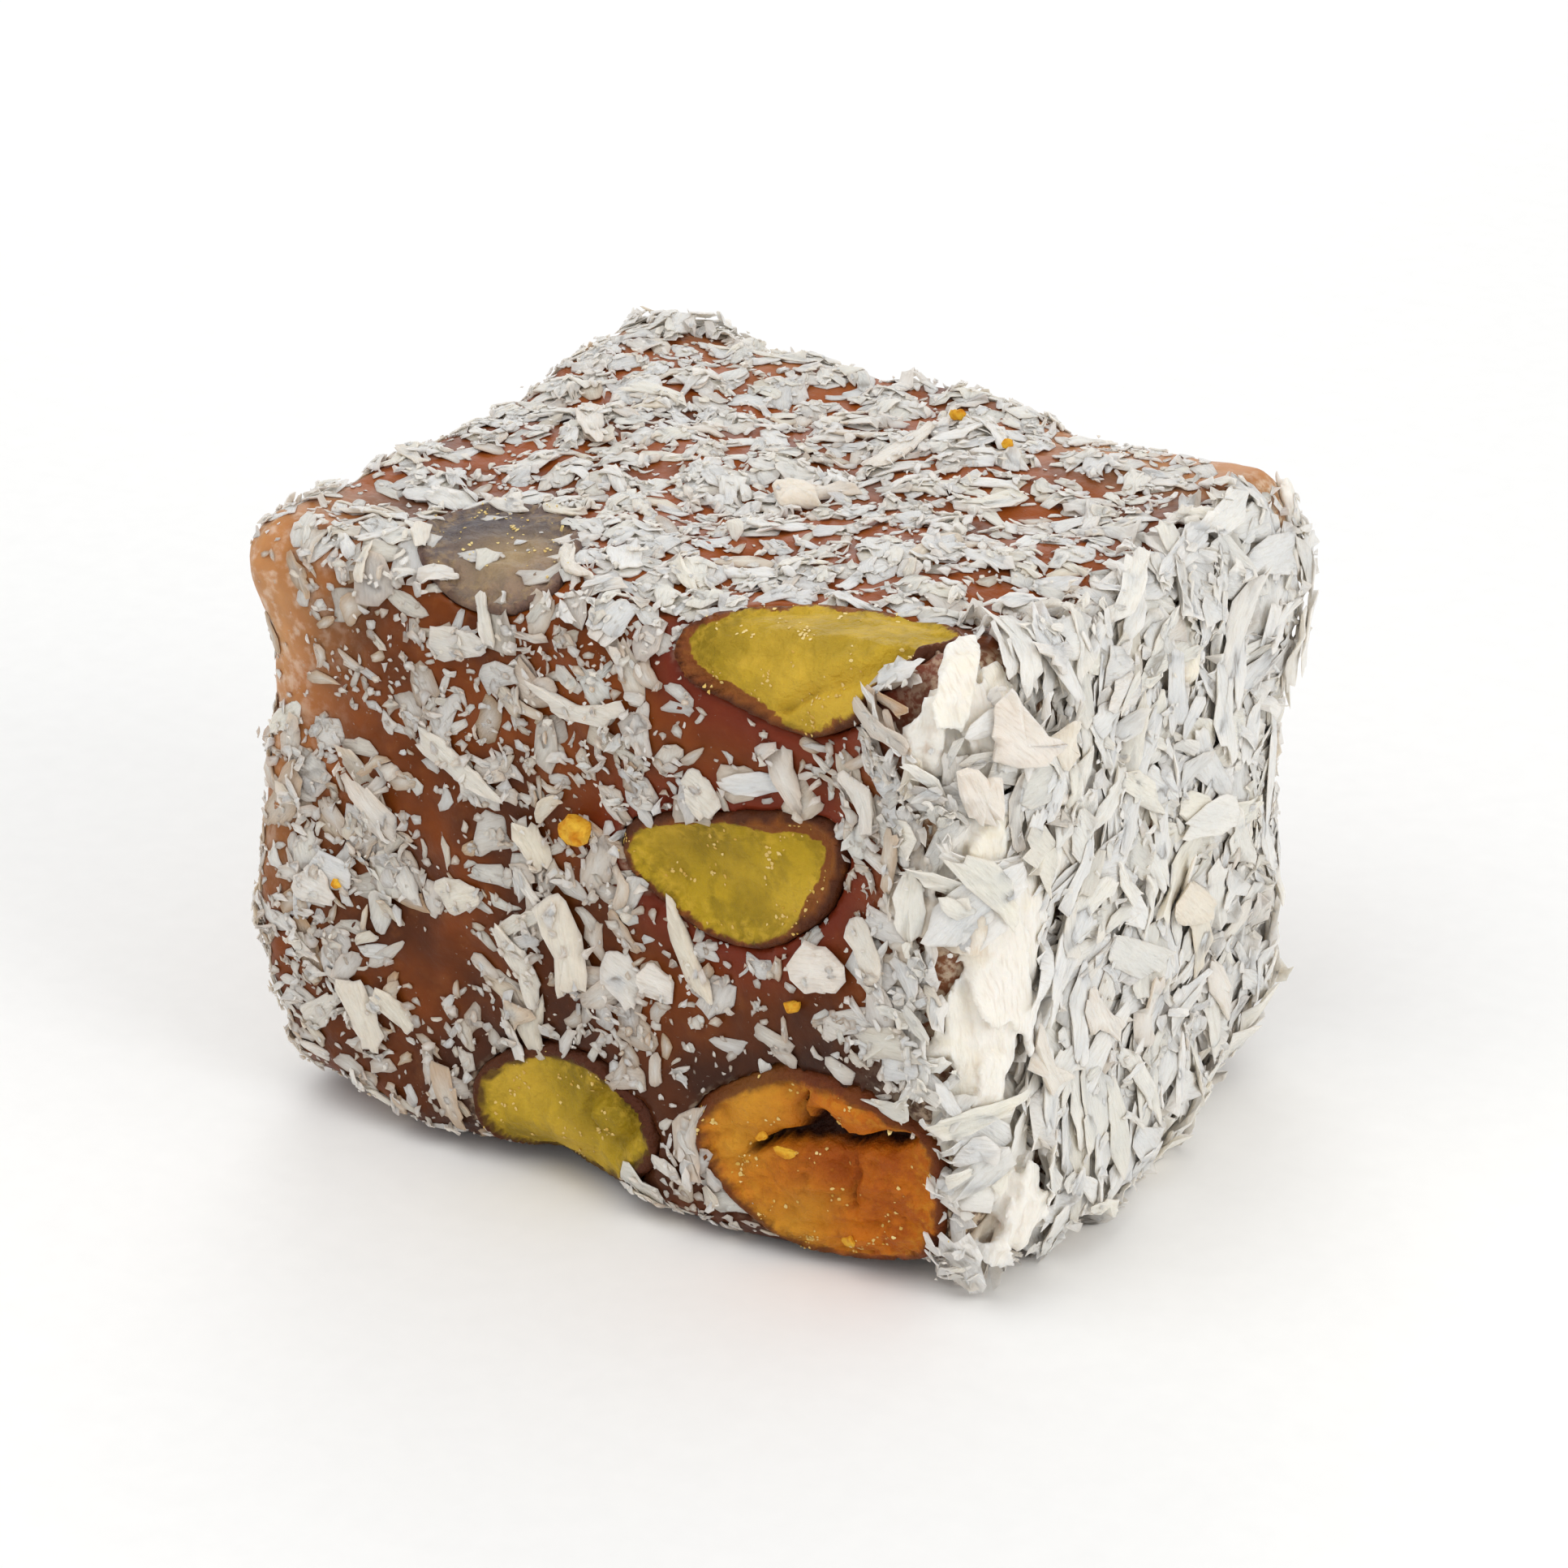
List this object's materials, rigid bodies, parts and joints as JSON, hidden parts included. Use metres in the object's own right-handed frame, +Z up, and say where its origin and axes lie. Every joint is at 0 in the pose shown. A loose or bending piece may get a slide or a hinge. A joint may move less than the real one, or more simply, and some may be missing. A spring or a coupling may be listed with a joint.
{
  "type": "turkish delight",
  "caption": "Soft cube of caramel-brown starch jelly, hand cut, set with pistachio kernels and coated in desiccated coconut, eaten as a small sweet.",
  "frame": {"origin": "on the resting face, under the middle of the whole piece", "axes": "+X along the long side, -Y towards the long front face, +Z up"},
  "size_m": [0.0404, 0.0326, 0.0318],
  "materials": {
    "jelly": "caramel-brown starch jelly, slightly translucent, with a soft sheen where it is bare",
    "kernel_green": "cut pistachio flesh, olive-gold, with a thin red-brown skin at its rim",
    "kernel_gold": "cut pistachio flesh stained golden brown-orange, cracked",
    "kernel_skin": "grey-mauve kernel skin under a thin film of jelly",
    "coconut": "dry white coconut flakes, matt, slightly translucent at thin edges"
  },
  "bodies": {
    "root": {"jelly": "jelly", "kernel_ridge": "kernel_green", "kernel_front": "kernel_green", "kernel_low_left": "kernel_green", "kernel_low_right": "kernel_gold", "kernel_top": "kernel_skin", "kernel_back_long": "kernel_gold", "kernel_back_low": "kernel_green", "kernel_back_high": "kernel_green", "kernel_left_low": "kernel_gold", "kernel_left_high": "kernel_green"}
  },
  "joints": []
}
